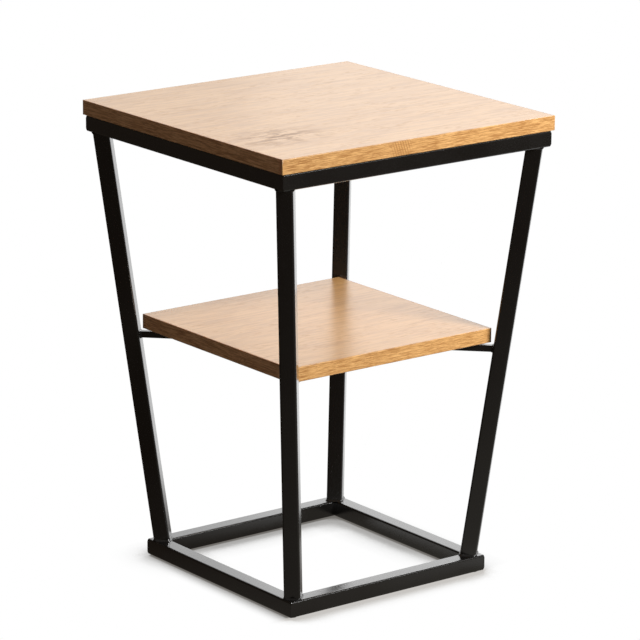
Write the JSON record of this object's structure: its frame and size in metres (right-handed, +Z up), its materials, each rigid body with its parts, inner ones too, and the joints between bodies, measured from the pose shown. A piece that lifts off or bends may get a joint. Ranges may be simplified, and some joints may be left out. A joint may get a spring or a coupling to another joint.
{
  "type": "nightstand",
  "caption": "Square nightstand: oak-finish top and a smaller lower shelf on a black steel-tube frame whose legs lean in from the top frame to a smaller floor ring.",
  "frame": {"origin": "on the floor, under the centre of the square top", "axes": "+Z up, -Y towards the front, +X to the right, along the wood grain of the top and the shelf"},
  "size_m": [0.4, 0.4, 0.57],
  "materials": {
    "oak_decor": "oak decor on board, fine straight grain along X, satin",
    "oak_band": "oak edge band, grain along the edge, satin",
    "black_powder_coat": "black powder coat, semi-gloss",
    "zinc_steel": "bright zinc plate",
    "black_rubber": "matt black rubber",
    "glide_plastic": "matt black plastic"
  },
  "bodies": {
    "root": {"base_rail_back": "black_powder_coat", "base_rail_front": "black_powder_coat", "base_rail_left": "black_powder_coat", "base_rail_right": "black_powder_coat", "glide_back_left": "glide_plastic", "glide_back_right": "glide_plastic", "glide_front_left": "glide_plastic", "glide_front_right": "glide_plastic", "leg_back_left": "black_powder_coat", "leg_back_right": "black_powder_coat", "leg_front_left": "black_powder_coat", "leg_front_right": "black_powder_coat", "shelf_bar_back_right": "black_powder_coat", "shelf_bar_front_left": "black_powder_coat", "shelf_bar_through": "black_powder_coat", "shelf_edge_band_back": "oak_band", "shelf_edge_band_front": "oak_band", "shelf_edge_band_left": "oak_band", "shelf_edge_band_right": "oak_band", "shelf_panel": "oak_decor", "shelf_screw_back_left": "zinc_steel", "shelf_screw_back_right": "zinc_steel", "shelf_screw_front_left": "zinc_steel", "shelf_screw_front_right": "zinc_steel", "shelf_spacer_back_left": "black_rubber", "shelf_spacer_back_right": "black_rubber", "shelf_spacer_front_left": "black_rubber", "shelf_spacer_front_right": "black_rubber", "top_edge_band_back": "oak_band", "top_edge_band_front": "oak_band", "top_edge_band_left": "oak_band", "top_edge_band_right": "oak_band", "top_panel": "oak_decor", "top_rail_back": "black_powder_coat", "top_rail_front": "black_powder_coat", "top_rail_left": "black_powder_coat", "top_rail_right": "black_powder_coat", "top_screw_back_1": "zinc_steel", "top_screw_back_2": "zinc_steel", "top_screw_front_1": "zinc_steel", "top_screw_front_2": "zinc_steel", "top_screw_left_1": "zinc_steel", "top_screw_left_2": "zinc_steel", "top_screw_right_1": "zinc_steel", "top_screw_right_2": "zinc_steel"}
  },
  "joints": []
}
